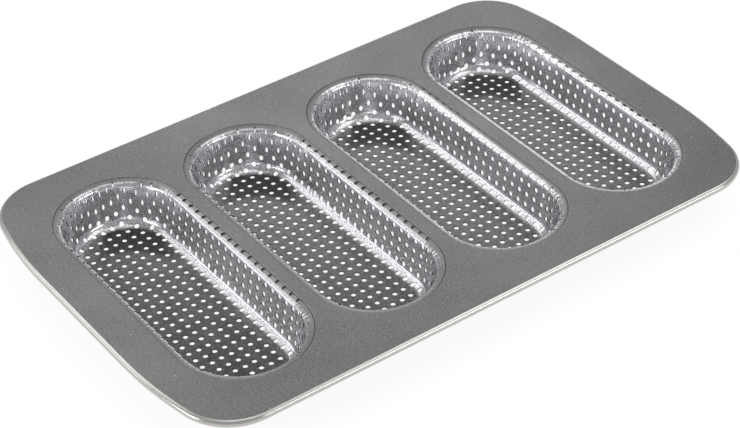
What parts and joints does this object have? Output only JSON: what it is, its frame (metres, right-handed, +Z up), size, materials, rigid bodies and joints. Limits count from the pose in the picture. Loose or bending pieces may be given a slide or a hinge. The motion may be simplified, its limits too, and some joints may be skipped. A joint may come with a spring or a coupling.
{
  "type": "perforated roll pan",
  "caption": "Flat baking pan with a rolled edge and long round-ended perforated wells for rolls or small loaves.",
  "frame": {"origin": "centre of the pan, at the height of the surface that the four cups stand on", "axes": "+X across the wells, along the pan's long side; +Y along the wells, away from the viewer; +Z up, out of the wells"},
  "size_m": [0.38, 0.242, 0.0269],
  "materials": {
    "dark_coating": "satin dark grey baked coating on pressed steel",
    "perforated_sheet": "semi-gloss metallic grey coating on thin perforated steel",
    "wire_steel": "plain drawn wire, hidden in the rolled edge"
  },
  "bodies": {
    "root": {"plate": "dark_coating", "rim_wire": "wire_steel", "cup_1": "perforated_sheet", "cup_2": "perforated_sheet", "cup_3": "perforated_sheet", "cup_4": "perforated_sheet"}
  },
  "joints": []
}
